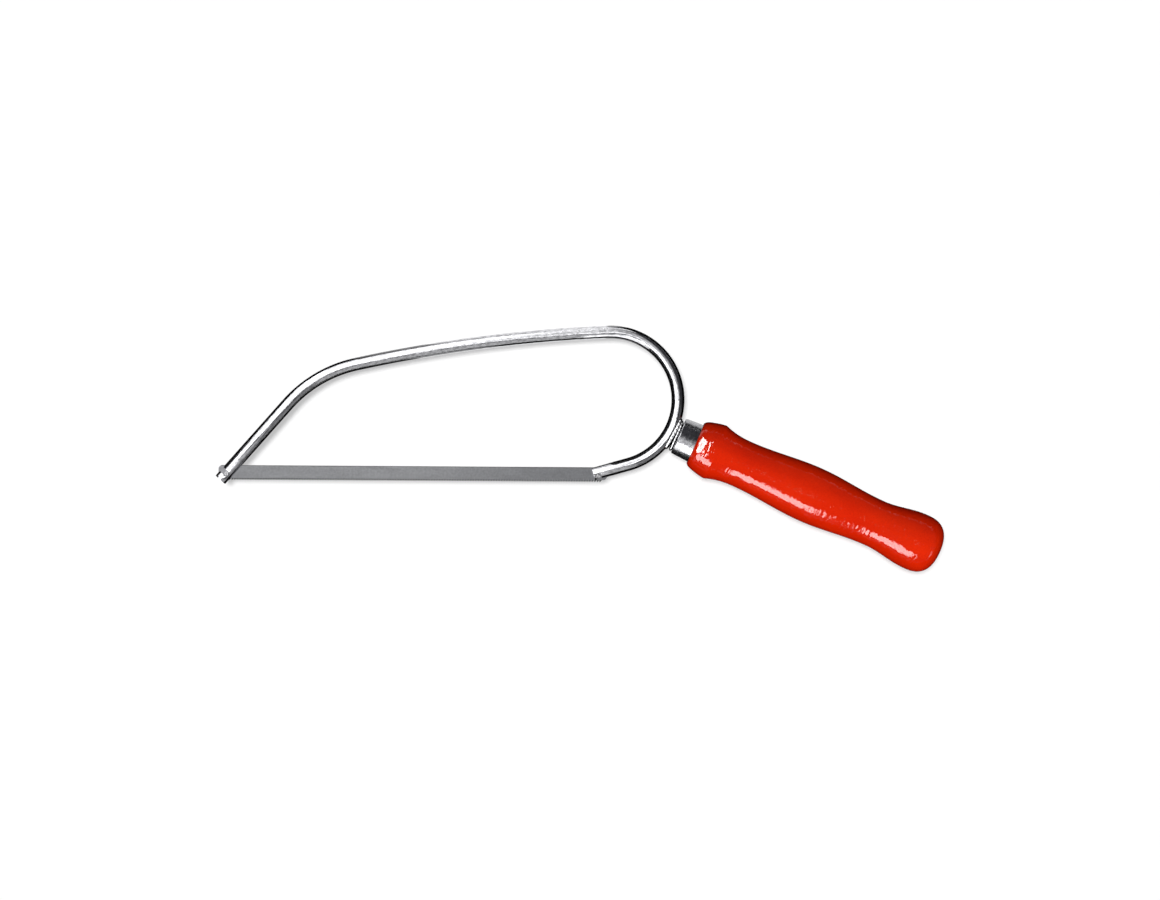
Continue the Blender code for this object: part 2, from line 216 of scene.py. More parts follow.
def straightened(place):
    """Where a point of the rod would lie, in mm, if the rod were pulled straight along x."""
    arm_run = (place - arm_foot).dot(arm)
    tail_run = (place - tail_foot).dot(tail)
    if arm_run < arm_length and (place - arm_foot).dot(arm_inside) < rod_diameter:
        run, offset = arm_run, -(place - arm_foot).dot(arm_inside)
    elif tail_run < tail_length and (place - tail_foot).dot(tail_inside) < rod_diameter:
        run, offset = loop_run + tail_length - tail_run, -(place - tail_foot).dot(tail_inside)
    elif angle_of(place - bar_centre) > bar_start:
        run = arm_length + bend_radius * (bend_start - angle_of(place - bend_centre))
        offset = (place - bend_centre).xy.length - bend_radius
    elif angle_of(place - bar_centre) > loop_start:
        run = bend_run + bar_radius * (bar_start - angle_of(place - bar_centre))
        offset = (place - bar_centre).xy.length - bar_radius
    else:
        run = bar_run + loop_radius * (loop_start - angle_of(place - loop_centre))
        offset = (place - loop_centre).xy.length - loop_radius
    return Vector((run, offset, place.z - front_pin.z)) / MM


along_rod = bow.data.attributes.new("along_rod", "FLOAT_VECTOR", "POINT")
for vertex in bow.data.vertices:
    along_rod.data[vertex.index].vector = straightened(vertex.co)


def surface(name, colour, metallic, roughness):
    material = bpy.data.materials.new(name)
    material.use_nodes = True
    shader = material.node_tree.nodes["Principled BSDF"]
    shader.inputs["Base Color"].default_value = (*colour, 1.0)
    shader.inputs["Metallic"].default_value = metallic
    shader.inputs["Roughness"].default_value = roughness
    return material, material.node_tree, shader


def add(tree, kind, **values):
    """Adds a node, and links or sets its sockets by name."""
    node = tree.nodes.new("ShaderNode" + kind)
    for socket, value in values.items():
        target = node.inputs[socket.replace("_", " ")]
        if isinstance(value, bpy.types.NodeSocket):
            tree.links.new(value, target)
        else:
            target.default_value = value
    return node


def combined(tree, operation, first, second):
    """Joins two values, or a value and a number, in a Math node."""
    node = add(tree, "Math")
    node.operation = operation
    for target, value in zip(node.inputs, (first, second)):
        if isinstance(value, bpy.types.NodeSocket):
            tree.links.new(value, target)
        else:
            target.default_value = value
    return node.outputs[0]


def blended(tree, mode, share, under, over):
    """Lays one colour over another."""
    node = add(tree, "MixRGB", Fac=share, Color1=under, Color2=over)
    node.blend_type = mode
    return node.outputs[0]


def shades(tree, value, *stops):
    """A colour ramp from (place, colour) stops."""
    ramp = add(tree, "ValToRGB", Fac=value)
    while len(ramp.color_ramp.elements) < len(stops):
        ramp.color_ramp.elements.new(0.5)
    for element, (place, colour) in zip(ramp.color_ramp.elements, stops):
        element.position = place
        element.color = (*colour, 1.0) if isinstance(colour, tuple) else (colour, colour, colour, 1.0)
    return ramp.outputs["Color"]


def roughen(tree, shader, mask, smooth, rough):
    """Lets the roughness of a surface change with a mask."""
    tree.links.new(shades(tree, mask, (0.3, smooth), (0.7, rough)), shader.inputs["Roughness"])


def emboss(tree, shader, *layers):
    """Raises a surface by layers of (mask, depth), one on top of the other."""
    below = None
    for mask, depth in layers:
        bump = add(tree, "Bump", Height=mask, Strength=1.0, Distance=depth)
        if below:
            tree.links.new(below, bump.inputs["Normal"])
        below = bump.outputs[0]
    tree.links.new(below, shader.inputs["Normal"])


def dress(piece, material):
    piece.data.materials.clear()
    piece.data.materials.append(material)


# Grain is the fine pitting of plated or rolled steel and mottle its slow change of shade.
metal_grain = bpy.data.node_groups.new("metal_grain", "ShaderNodeTree")
for socket, way, kind in (
    ("Place", "INPUT", "NodeSocketVector"),
    ("Fineness", "INPUT", "NodeSocketFloat"),
    ("Grain", "OUTPUT", "NodeSocketFloat"),
    ("Mottle", "OUTPUT", "NodeSocketFloat"),
):
    metal_grain.interface.new_socket(socket, in_out=way, socket_type=kind)
grain_in = metal_grain.nodes.new("NodeGroupInput")
grain_out = metal_grain.nodes.new("NodeGroupOutput")
mottle_fineness = 0.14
fine = grain_in.outputs["Fineness"]
slow = combined(metal_grain, "MULTIPLY", fine, mottle_fineness)
for socket, scale, detail, roughness in (("Grain", fine, 3.0, 0.6), ("Mottle", slow, 2.0, 0.5)):
    noise = add(metal_grain, "TexNoise", Scale=scale, Detail=detail, Roughness=roughness)
    metal_grain.links.new(grain_in.outputs["Place"], noise.inputs["Vector"])
    metal_grain.links.new(noise.outputs["Fac"], grain_out.inputs[socket])


def grained(tree, place, fineness):
    node = add(tree, "Group")
    node.node_tree = metal_grain
    tree.links.new(place, node.inputs["Place"])
    node.inputs["Fineness"].default_value = fineness
    return node


def millimetres(tree, scale=(1.0, 1.0, 1.0), turned=0.0):
    """Object coordinates in millimetres, turned about the upright axis and stretched."""
    spot = add(tree, "TexCoord").outputs["Object"]
    sized = add(tree, "Mapping", Vector=spot, Scale=[1 / MM] * 3, Rotation=(0.0, 0.0, turned))
    return add(tree, "Mapping", Vector=sized.outputs[0], Scale=scale).outputs[0]


bow_steel, tree, shader = surface("bright_plated_rod", (0.58, 0.58, 0.6), 1.0, 0.16)
rod_place = add(tree, "Attribute")
rod_place.attribute_name = "along_rod"
drawn_place = add(tree, "Mapping", Vector=rod_place.outputs["Vector"], Scale=(0.06, 1.0, 1.0))
pitted_place = add(tree, "Mapping", Vector=rod_place.outputs["Vector"], Scale=(0.4, 1.0, 1.0))
drawn = grained(tree, drawn_place.outputs[0], 2.4)
pitted = grained(tree, pitted_place.outputs[0], 1.4)
clouded = shades(tree, drawn.outputs["Mottle"], (0.3, (0.52, 0.52, 0.54)), (0.65, (0.64, 0.64, 0.66)))
speckles = shades(tree, pitted.outputs["Grain"], (0.38, 0.62), (0.6, 1.0))
tree.links.new(blended(tree, "MULTIPLY", 1.0, clouded, speckles), shader.inputs["Base Color"])
roughen(tree, shader, drawn.outputs["Grain"], 0.08, 0.19)
emboss(tree, shader, (pitted.outputs["Grain"], 0.035 * MM), (drawn.outputs["Grain"], 0.02 * MM))
dress(bow, bow_steel)
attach(bow, "frame")
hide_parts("bow")

# A steel spike is welded on the outer side of the loop and driven into the handle. It is plain drawn
# steel and stays out of sight, so the solid of the frame stands for it.
handle_angle, weld_angle = radians(-23.7), radians(-28.4)
tang_diameter, tang_length = 5.0 * MM, 72.0 * MM
tang_steel, tree, shader = surface("plain_spike_steel", (0.4, 0.39, 0.38), 1.0, 0.4)
scaled = grained(tree, millimetres(tree, (0.1, 1.0, 1.0), -handle_angle), 1.5)
roughen(tree, shader, scaled.outputs["Grain"], 0.3, 0.55)
tree.links.new(
    shades(tree, scaled.outputs["Mottle"], (0.35, (0.26, 0.25, 0.24)), (0.65, (0.42, 0.41, 0.4))),
    shader.inputs["Base Color"],
)
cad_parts["tang"].material_slots[0].material = tang_steel

# The weld joins the loop to the spike: two short runs in the groove, one laid up on the rod and one
# against the ferrule, plated over with the bow.
handle_way = unit(handle_angle)
weld_point = loop_centre + loop_radius * unit(weld_angle)
weld_root = 0.4 * MM
ferrule_front = rod_diameter / 2 + weld_root
rod_run_out, ferrule_run_out, ferrule_run_aside = 1.6 * MM, 3.0 * MM, 0.4 * MM
rod_run_size = {"reach": 2.7 * MM, "length": 13.4 * MM, "height": 7.0 * MM}
ferrule_run_size = {"reach": 1.8 * MM, "length": 12.6 * MM, "height": 6.6 * MM}
weld_sides, weld_rings, weld_ripples, ripple_swell = 32, 72, 9, 0.05
end_power, toe_power, least_width = 4, 14, 0.02


def weld_run(name, place, angle, reach, length, height):
    """A run drawn out ring by ring, swelling at each ripple, with a toe value on each point for painted
    shade beside its crest.
    """
    along = left_of(unit(angle))
    bpy.ops.object.select_all(action="DESELECT")
    bpy.ops.mesh.primitive_circle_add(
        vertices=weld_sides,
        radius=reach / 2,
        fill_type="NGON",
        enter_editmode=True,
        location=place,
        rotation=(pi / 2, 0.0, angle),
    )
    bpy.ops.transform.resize(value=(1.0, 1.0, height / reach), center_override=place)
    spots = [-cos(pi * (ring + 0.5) / weld_rings) for ring in range(weld_rings)]
    swells = [1 + ripple_swell * cos(weld_ripples * pi * spot) for spot in spots]
    widths = [sqrt(1 - spot**end_power) * swell for spot, swell in zip(spots, swells)]
    centres = [place + spot * length / 2 * along for spot in spots]
    bpy.ops.transform.translate(value=centres[0] - place)
    bpy.ops.transform.resize(value=[widths[0]] * 3, center_override=centres[0])
    for ring in range(1, weld_rings):
        step = centres[ring] - centres[ring - 1]
        bpy.ops.mesh.extrude_region_move(TRANSFORM_OT_translate={"value": step})
        bpy.ops.transform.resize(value=[widths[ring] / widths[ring - 1]] * 3, center_override=centres[ring])
    bpy.ops.mesh.select_all(action="SELECT")
    bpy.ops.mesh.normals_make_consistent(inside=False)
    run = settle(name)
    toe = run.data.attributes.new("toe", "FLOAT", "POINT")
    for vertex in run.data.vertices:
        sideways = (vertex.co - place).dot(unit(angle)) / (reach / 2)
        lengthwise = (vertex.co - place).dot(along) / (length / 2)
        width = sqrt(max(1 - lengthwise**end_power, least_width))
        toe.data[vertex.index].value = max(abs(sideways) / width, lengthwise**toe_power)
    return run


rod_run_place = weld_point + rod_run_out * unit(weld_angle)
ferrule_run_place = weld_point + ferrule_run_out * handle_way - ferrule_run_aside * left_of(handle_way)
rod_run = weld_run("weld_on_rod", rod_run_place, weld_angle, **rod_run_size)
ferrule_run = weld_run("weld_on_ferrule", ferrule_run_place, handle_angle, **ferrule_run_size)
bpy.ops.object.select_all(action="DESELECT")
rod_run.select_set(True)
ferrule_run.select_set(True)
bpy.context.view_layer.objects.active = rod_run
bpy.ops.object.join()
weld = settle("weld_runs")
bpy.ops.object.shade_smooth()
weld_steel, tree, shader = surface("plated_weld", (0.58, 0.58, 0.6), 1.0, 0.2)
beaded = grained(tree, millimetres(tree, (1.0, 1.6, 1.0), -handle_angle), 1.3)
roughen(tree, shader, beaded.outputs["Grain"], 0.14, 0.34)
# Painted highlight and shade: lighter than the rod on the crest, near black at the toes beside it.
toe_shade_mask = add(tree, "Attribute")
toe_shade_mask.attribute_name = "toe"
tree.links.new(
    shades(tree, toe_shade_mask.outputs["Fac"], (0.36, (0.7, 0.7, 0.71)), (0.44, (0.02, 0.02, 0.022))),
    shader.inputs["Base Color"],
)
emboss(tree, shader, (beaded.outputs["Grain"], 0.05 * MM))
dress(weld, weld_steel)
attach(weld, "frame")
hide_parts("weld_bead")

# The ferrule is a cup drawn from sheet steel, slightly wider at the back, with a rolled front edge and
# a hole for the spike. It is pressed over the front of the handle so that the wood can't split, and it
# stands back a little from the rod to leave room for the weld.
ferrule_length, ferrule_wall, ferrule_edge = 8.0 * MM, 0.8 * MM, 0.6 * MM
ferrule_front_diameter, ferrule_rear_diameter = 14.4 * MM, 15.4 * MM
seat_gap, weld_room = 0.1 * MM, 0.8 * MM
turned_steps, edge_steps = 128, 12
merge_distance = 0.002 * MM


def turn(name, profile, closed):
    """Turns (radius, height) points, listed from the back along the outer side, about the handle line."""
    places = [weld_point + height * handle_way + radius * left_of(handle_way) for radius, height in profile]
    bpy.ops.object.select_all(action="DESELECT")
    bpy.ops.mesh.primitive_plane_add(size=MM, enter_editmode=True, location=places[0])
    bpy.ops.mesh.select_mode(type="VERT")
    bpy.ops.mesh.merge(type="CENTER")
    for start, end in zip(places, places[1:]):
        bpy.ops.mesh.extrude_vertices_move(TRANSFORM_OT_translate={"value": end - start})
    if closed:
        bpy.ops.mesh.extrude_vertices_move(TRANSFORM_OT_translate={"value": places[0] - places[-1]})
    bpy.ops.mesh.select_all(action="SELECT")
    bpy.ops.mesh.spin(steps=turned_steps, angle=tau, center=weld_point, axis=handle_way)
    bpy.ops.mesh.select_all(action="SELECT")
    bpy.ops.mesh.remove_doubles(threshold=merge_distance)
    bpy.ops.mesh.normals_make_consistent(inside=False)
    return settle(name)


def ferrule_radius(height):
    share = (height - ferrule_front) / ferrule_length
    return (ferrule_front_diameter + (ferrule_rear_diameter - ferrule_front_diameter) * share) / 2


handle_face = ferrule_front + ferrule_length
ferrule_rear = handle_face - seat_gap
cup_front = ferrule_front + weld_room
ferrule_floor = cup_front + ferrule_wall
edge_height = cup_front + ferrule_edge
edge_radius = ferrule_radius(edge_height) - ferrule_edge
cup = [(ferrule_radius(ferrule_rear), ferrule_rear)]
for step in range(edge_steps + 1):
    turn_angle = step / edge_steps * pi / 2
    cup.append((edge_radius + ferrule_edge * cos(turn_angle), edge_height - ferrule_edge * sin(turn_angle)))
cup += [
    (tang_diameter / 2 + seat_gap, cup_front),
    (tang_diameter / 2 + seat_gap, ferrule_floor),
    (ferrule_radius(ferrule_floor) - ferrule_wall, ferrule_floor),
    (ferrule_radius(ferrule_rear) - ferrule_wall, ferrule_rear),
]
ferrule = turn("ferrule_cup", cup, True)
bpy.ops.object.shade_smooth_by_angle(angle=smooth_angle)
ferrule_steel, tree, shader = surface("drawn_cup_steel", (0.56, 0.56, 0.58), 1.0, 0.24)
pressed = grained(tree, millimetres(tree, (1.0, 1.0, 1.0), -handle_angle), 1.1)
roughen(tree, shader, pressed.outputs["Grain"], 0.16, 0.28)
tree.links.new(
    shades(tree, pressed.outputs["Grain"], (0.36, (0.4, 0.4, 0.42)), (0.62, (0.66, 0.66, 0.68))),
    shader.inputs["Base Color"],
)
emboss(tree, shader, (pressed.outputs["Grain"], 0.09 * MM))
dress(ferrule, ferrule_steel)
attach(ferrule, "frame")
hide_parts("ferrule")

# The handle is turned from one piece of hardwood, with a spigot for the ferrule and a bore for the
# spike, and dipped in gloss red lacquer, which lies a little uneven over the turning marks.
tang_end = ferrule_front + tang_length
contour_steps = 24
lip_share, lip_power, flank_power = 0.26, 14, 1.5
collar_power, butt_power = 2.3, 2.6


def lipped(share):
    lip = 1 - (1 - share) ** lip_power
    flank = 1 - (1 - share) ** flank_power
    return lip_share * lip + (1 - lip_share) * flank


def sharp(share):
    return 1 - (1 - share) ** collar_power


def wave(share):
    return (1 - cos(pi * share)) / 2


def blunt(share):
    return 1 - (1 - share**butt_power) ** (1 / butt_power)


# Each run eases to its next diameter. The steps of the last one crowd towards the tip of the butt.
contour_height, contour_diameter = handle_face, 16.8 * MM
contour = [(contour_diameter / 2, contour_height)]
for run, next_diameter, ease in (
    (8.4 * MM, 22.2 * MM, lipped),
    (11.3 * MM, 18.5 * MM, sharp),
    (28.9 * MM, 22.0 * MM, wave),
    (27.1 * MM, 18.5 * MM, wave),
    (17.4 * MM, 22.5 * MM, wave),
    (10.0 * MM, 0.0, blunt),
):
    for step in range(1, contour_steps + 1):
        share = sin(step / contour_steps * pi / 2) if ease is blunt else step / contour_steps
        radius = (contour_diameter + (next_diameter - contour_diameter) * ease(share)) / 2
        contour.append((radius, contour_height + run * share))
    contour_height += run
    contour_diameter = next_diameter

spigot_front = ferrule_floor + seat_gap
wood = contour[::-1] + [
    (ferrule_radius(handle_face) - ferrule_wall - seat_gap, handle_face),
    (ferrule_radius(spigot_front) - ferrule_wall - seat_gap, spigot_front),
    (tang_diameter / 2 + seat_gap, spigot_front),
    (tang_diameter / 2 + seat_gap, tang_end + seat_gap),
    (0.0, tang_end + seat_gap),
]
handle = turn("turned_handle", wood, False)
bpy.ops.object.shade_smooth_by_angle(angle=smooth_angle)
red_lacquer, tree, shader = surface("gloss_red_lacquer", (0.62, 0.016, 0.0008), 0.0, 0.1)
turned_place = millimetres(tree, (1.0, 0.45, 0.45), -handle_angle)
turning_marks = add(tree, "TexNoise", Vector=turned_place, Scale=0.75, Detail=1.0, Roughness=0.5)
dipped_place = millimetres(tree, (0.35, 1.0, 1.0), -handle_angle)
brushed_runs = add(tree, "TexNoise", Vector=dipped_place, Scale=0.55, Detail=2.0, Roughness=0.5)
depth_of_colour = add(tree, "TexNoise", Vector=dipped_place, Scale=0.12, Detail=2.0, Roughness=0.5)
thin_red, thick_red = (0.57, 0.013, 0.0006), (0.65, 0.018, 0.0008)
tree.links.new(
    shades(tree, depth_of_colour.outputs["Fac"], (0.3, thin_red), (0.7, thick_red)),
    shader.inputs["Base Color"],
)
roughen(tree, shader, brushed_runs.outputs["Fac"], 0.05, 0.12)
emboss(tree, shader, (turning_marks.outputs["Fac"], 0.19 * MM), (brushed_runs.outputs["Fac"], 0.03 * MM))
dress(handle, red_lacquer)
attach(handle, "frame")
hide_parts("handle")

# The blade is a thin hardened strip, toothed along its lower edge. The teeth lean towards the nose and
# are set to either side in turn, and both ends are rounded and drilled for the cross pins.
tooth_pitch, tooth_depth, tooth_lean, tooth_set = 1.0 * MM, 0.9 * MM, 0.15 * MM, 0.07 * MM
corner_radius, corner_steps = 1.5 * MM, 8
rivet_gap = 0.05 * MM
tooth_smooth_angle = radians(25.0)
tooth_count = 146
roots = blade_low.y + tooth_depth
first_root = (blade_low.x + blade_high.x - tooth_count * tooth_pitch) / 2
end_run = first_root - blade_low.x
bpy.ops.object.select_all(action="DESELECT")
bpy.ops.mesh.primitive_plane_add(
    size=tooth_pitch,
    location=(first_root + tooth_pitch / 2, (roots + blade_high.y) / 2, blade_low.z),
)
bpy.ops.transform.resize(value=(1.0, (blade_high.y - roots) / tooth_pitch, 1.0))
blade = settle("toothed_blade")
near = 0.01 * MM
edit(blade)
pick(blade, lambda place: place.y < roots + near)
bpy.ops.mesh.subdivide(number_cuts=1)
pick(blade, lambda place: place.y < roots + near and abs(place.x - first_root - tooth_pitch / 2) < near)
bpy.ops.transform.translate(value=(tooth_lean - tooth_pitch / 2, -tooth_depth, 0.0))
settle("toothed_blade")
teeth = blade.modifiers.new("teeth", "ARRAY")
teeth.count = tooth_count
teeth.use_relative_offset = False
teeth.use_constant_offset = True
teeth.constant_offset_displace = (tooth_pitch, 0.0, 0.0)
teeth.use_merge_vertices = True
teeth.merge_threshold = near
bpy.ops.object.modifier_apply(modifier=teeth.name)
edit(blade)
for end, outwards in ((first_root, -1.0), (first_root + tooth_count * tooth_pitch, 1.0)):
    pick(blade, lambda place: abs(place.x - end) < near)
    bpy.ops.mesh.extrude_region_move(TRANSFORM_OT_translate={"value": (outwards * end_run, 0.0, 0.0)})
    bpy.ops.mesh.bevel(affect="VERTICES", offset=corner_radius, segments=corner_steps)
bpy.ops.mesh.select_all(action="SELECT")
bpy.ops.mesh.extrude_region_move(TRANSFORM_OT_translate={"value": blade_thickness * upright})
bpy.ops.mesh.select_all(action="SELECT")
bpy.ops.mesh.normals_make_consistent(inside=False)


def on_tip(place, parity):
    number = floor((place.x - first_root) / tooth_pitch)
    return place.y < blade_low.y + near and number % 2 == parity


for parity, lean in ((0, tooth_set), (1, -tooth_set)):
    pick(blade, lambda place: on_tip(place, parity))
    bpy.ops.transform.translate(value=lean * upright)
settle("toothed_blade")
for pin in (front_pin, rear_pin):
    bpy.ops.mesh.primitive_cylinder_add(
        vertices=notch_sides, radius=pin_diameter / 2 + rivet_gap, depth=rod_diameter, location=pin
    )
    cut_away(blade, settle("pin_hole"))
bpy.context.view_layer.objects.active = blade
blade.select_set(True)
bpy.ops.object.shade_smooth_by_angle(angle=tooth_smooth_angle)


def share_along(tree, axis, start, end):
    """How far a point lies from start to end along an axis, as a share."""
    spot = add(tree, "SeparateXYZ", Vector=add(tree, "TexCoord").outputs["Object"]).outputs[axis]
    return add(tree, "MapRange", Value=spot, From_Min=start, From_Max=end, To_Min=0.0, To_Max=1.0).outputs[0]


blade_steel, tree, shader = surface("hardened_blade_steel", (0.42, 0.42, 0.43), 1.0, 0.4)
rolled = grained(tree, millimetres(tree, (0.12, 1.0, 1.0)), 1.1)
cloudy = grained(tree, millimetres(tree), 1.2)
across_blade = share_along(tree, "Y", blade_low.y, blade_high.y)
# The blade is darkened almost to black across the teeth, with painted shade in a thin dark line along its
# back edge.
edges = shades(tree, across_blade, (0.0, 0.06), (0.12, 0.08), (0.165, 1.0), (0.95, 1.0), (0.985, 0.22))
# Painted light and shade along the blade: lighter at the front tip, darker towards the rear end.
painted_light_along_blade = shades(
    tree,
    share_along(tree, "X", blade_low.x, blade_high.x),
    (0.0, (0.5, 0.5, 0.52)),
    (0.03, (0.5, 0.5, 0.52)),
    (0.05, (0.43, 0.435, 0.45)),
    (0.5, (0.47, 0.475, 0.49)),
    (1.0, (0.35, 0.355, 0.37)),
)
edged = blended(tree, "MULTIPLY", 1.0, painted_light_along_blade, edges)
clouds = shades(tree, cloudy.outputs["Grain"], (0.35, 0.4), (0.65, 0.6))
tree.links.new(blended(tree, "OVERLAY", 0.5, edged, clouds), shader.inputs["Base Color"])
roughen(tree, shader, rolled.outputs["Grain"], 0.34, 0.48)
emboss(tree, shader, (rolled.outputs["Grain"], 0.01 * MM))
dress(blade, blade_steel)
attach(blade, "blade")
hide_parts("saw_blade")

# The cross pins are cut from bright wire and riveted through the blade, with their ends rounded off and
# slightly dished. The sprung bow pulls on them where they lie in the notches.
pin_edge, pin_rim, pin_dish = 0.2 * MM, 0.35 * MM, 0.06 * MM
pin_sides, pin_edge_steps = 48, 4
bpy.ops.object.select_all(action="DESELECT")
bpy.ops.mesh.primitive_cylinder_add(
    vertices=pin_sides, radius=pin_diameter / 2, depth=pin_high.z - pin_low.z, location=front_pin
)
front_wire = settle("front_pin_wire")
edit(front_wire)
bpy.ops.mesh.select_mode(type="EDGE")
bpy.ops.mesh.edges_select_sharp(sharpness=sharp_angle)
bpy.ops.mesh.bevel(offset=pin_edge, segments=pin_edge_steps)
for end_height, dish in ((pin_low.z, pin_dish), (pin_high.z, -pin_dish)):
    pick(front_wire, lambda place: abs(place.z - end_height) < near)
    bpy.ops.mesh.inset(thickness=pin_rim)
    bpy.ops.transform.translate(value=dish * upright)
settle("front_pin_wire")
bpy.ops.object.shade_smooth_by_angle(angle=smooth_angle)
bpy.ops.object.duplicate()
bpy.ops.transform.translate(value=rear_pin - front_pin)
rear_wire = settle("rear_pin_wire")
pin_steel, tree, shader = surface("bright_pin_wire", (0.58, 0.58, 0.6), 1.0, 0.22)
cut_ends = grained(tree, millimetres(tree), 1.4)
roughen(tree, shader, cut_ends.outputs["Grain"], 0.16, 0.36)
tree.links.new(
    shades(tree, cut_ends.outputs["Grain"], (0.4, (0.05, 0.05, 0.055)), (0.58, (0.34, 0.34, 0.35))),
    shader.inputs["Base Color"],
)
emboss(tree, shader, (cut_ends.outputs["Grain"], 0.015 * MM))
for wire, node in ((front_wire, "front_blade_pin"), (rear_wire, "rear_blade_pin")):
    dress(wire, pin_steel)
    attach(wire, "blade")
    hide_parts(node)

# The saw lies on a white floor inside a low white ring, which closes the view at low angles. Both are
# white to the camera and in reflections, and the floor keeps the shadow of one soft lamp.
floor_size, floor_grey, ring_grey, bounce_share = 40.0, 0.5, 0.0, 0.3
ring_sides, ring_radius, ring_height = 96, 6.0, 0.84
bpy.ops.object.select_all(action="DESELECT")
bpy.ops.mesh.primitive_plane_add(size=floor_size, location=(0.0, 0.0, 0.0))
ground = settle("floor")
bpy.ops.mesh.primitive_cylinder_add(
    vertices=ring_sides,
    radius=ring_radius,
    depth=ring_height,
    end_fill_type="NOTHING",
    location=ring_height / 2 * upright,
)
ring = settle("backdrop")
ring.visible_shadow = False
for stage, shade in ((ground, floor_grey), (ring, ring_grey)):
    material = bpy.data.materials.new(stage.name)
    material.use_nodes = True
    tree = material.node_tree
    tree.nodes.clear()
    path = add(tree, "LightPath")
    bounce = shade * bounce_share
    dimmed = add(tree, "MapRange", Value=path.outputs["Is Diffuse Ray"], To_Min=shade, To_Max=bounce)
    matt = add(tree, "BsdfDiffuse", Color=dimmed.outputs[0])
    seen = combined(tree, "MAXIMUM", path.outputs["Is Camera Ray"], path.outputs["Is Glossy Ray"])
    seen = combined(tree, "MAXIMUM", seen, path.outputs["Is Transmission Ray"])
    glow = add(tree, "Emission", Strength=combined(tree, "MULTIPLY", seen, 1.0 - shade))
    total = add(tree, "AddShader")
    tree.links.new(matt.outputs[0], total.inputs[0])
    tree.links.new(glow.outputs[0], total.inputs[1])
    add(tree, "OutputMaterial", Surface=total.outputs[0])
    stage.data.materials.append(material)

# A tray of card lies on the floor round the saw for reflections alone, as it does in a studio. It is
# black under the arm, the loop and the handle, for their dark edges, glows pale above the bar, and
# glows grey below its front half and above the bends at its ends.
tray_size, tray_rim, tray_lift = 1.0, 0.08, 0.02 * MM
arm_side, bend_end, loop_side = -92.0 * MM, -62.0 * MM, -30.0 * MM
bar_end, fade_end, bar_foot = 10.0 * MM, 19.0 * MM, 26.0 * MM
bpy.ops.object.select_all(action="DESELECT")
bpy.ops.mesh.primitive_plane_add(size=tray_size, enter_editmode=True, location=tray_lift * upright)
bpy.ops.mesh.select_all(action="SELECT")
bpy.ops.mesh.extrude_edges_move(TRANSFORM_OT_translate={"value": tray_rim * upright})
cuts = [((x, 0.0, 0.0), (1.0, 0.0, 0.0)) for x in (arm_side, bend_end, loop_side, bar_end, fade_end)]
cuts.append(((0.0, bar_foot, 0.0), (0.0, 1.0, 0.0)))
for place, facing in cuts:
    bpy.ops.mesh.select_all(action="SELECT")
    bpy.ops.mesh.bisect(plane_co=place, plane_no=facing)
tray = settle("dark_card")


def card_finish(name, level):
    """Matt card that reflects hardly any light and glows at a level of its own."""
    finish, _, shader = surface(name, (0.02, 0.02, 0.02), 0.0, 1.0)
    shader.inputs["Specular IOR Level"].default_value = 0.0
    shader.inputs["Emission Color"].default_value = (1.0, 1.0, 1.0, 1.0)
    shader.inputs["Emission Strength"].default_value = level
    return finish


black_card = card_finish("black_card", 0.0)
black, grey, pale = 0, 1, 2
for finish in (black_card, card_finish("grey_card", 0.45), card_finish("pale_card", 1.3)):
    tray.data.materials.append(finish)
for face in tray.data.polygons:
    spot = face.center
    grey_start = arm_side if spot.y > bar_foot else bend_end
    beside_bar = grey_start < spot.x < fade_end and not (spot.x > loop_side and spot.y < bar_foot)
    above_bar = bend_end < spot.x < bar_end and spot.y > bar_foot
    if above_bar:
        face.material_index = pale
    elif beside_bar:
        face.material_index = grey
    else:
        face.material_index = black

# Two more black cards stand upright, a post inside the loop for its dark inner edge and a card beyond the
# arm for its dark outer edge. The side of the post towards the bar glows white in its upper part, for the
# light inner edge at the top of the loop.
post_width, post_height, post_turn = 16.0 * MM, 26.5 * MM, radians(100.0)
arm_card_width, arm_card_height, arm_card_reach = 56.0 * MM, 42.0 * MM, 100.0 * MM
card_thickness = 1.0 * MM
white_foot, facing_share = 14.25 * MM, 0.9


def standing_card(name, place, turned, width, depth, height):
    bpy.ops.object.select_all(action="DESELECT")
    bpy.ops.mesh.primitive_cube_add(
        size=1.0,
        location=(place.x, place.y, height / 2),
        rotation=(0.0, 0.0, turned),
        scale=(width, depth, height),
    )
    card = settle(name)
    dress(card, black_card)
    return card


post = standing_card("loop_post", loop_centre, post_turn, post_width, post_width, post_height)
edit(post)
bpy.ops.mesh.select_all(action="SELECT")
bpy.ops.mesh.bisect(plane_co=white_foot * upright, plane_no=upright)
settle("loop_post")
white = 1
post.data.materials.append(card_finish("white_card", 2.2))
for face in post.data.polygons:
    towards_bar = face.normal.dot(unit(post_turn)) > facing_share
    face.material_index = white if towards_bar and face.center.z > white_foot else black
arm_middle = arm_foot + arm_length / 2 * arm
beyond_arm = arm_middle - arm_card_reach * arm_inside
arm_card = standing_card("arm_card", beyond_arm, arm_angle, arm_card_width, card_thickness, arm_card_height)
for card in (tray, post, arm_card):
    card.visible_camera = False
    card.visible_diffuse = False
    card.visible_transmission = False
    card.visible_shadow = False

# Soft suns light the matt surfaces, and panels show as reflections in the bright ones. Each lamp lights
# only the pieces that it is set up for, in a room that is otherwise almost dark.
room_colour = (0.05, 0.05, 0.055, 1.0)
world = bpy.data.worlds.new("studio")
world.use_nodes = True
world.node_tree.nodes["Background"].inputs["Color"].default_value = room_colour
bpy.context.scene.world = world


def lit(lamp, *pieces):
    """Lets a lamp light some pieces alone."""
    group = bpy.data.collections.new(lamp.name)
    for piece in pieces:
        group.objects.link(piece)
    lamp.light_linking.receiver_collection = group


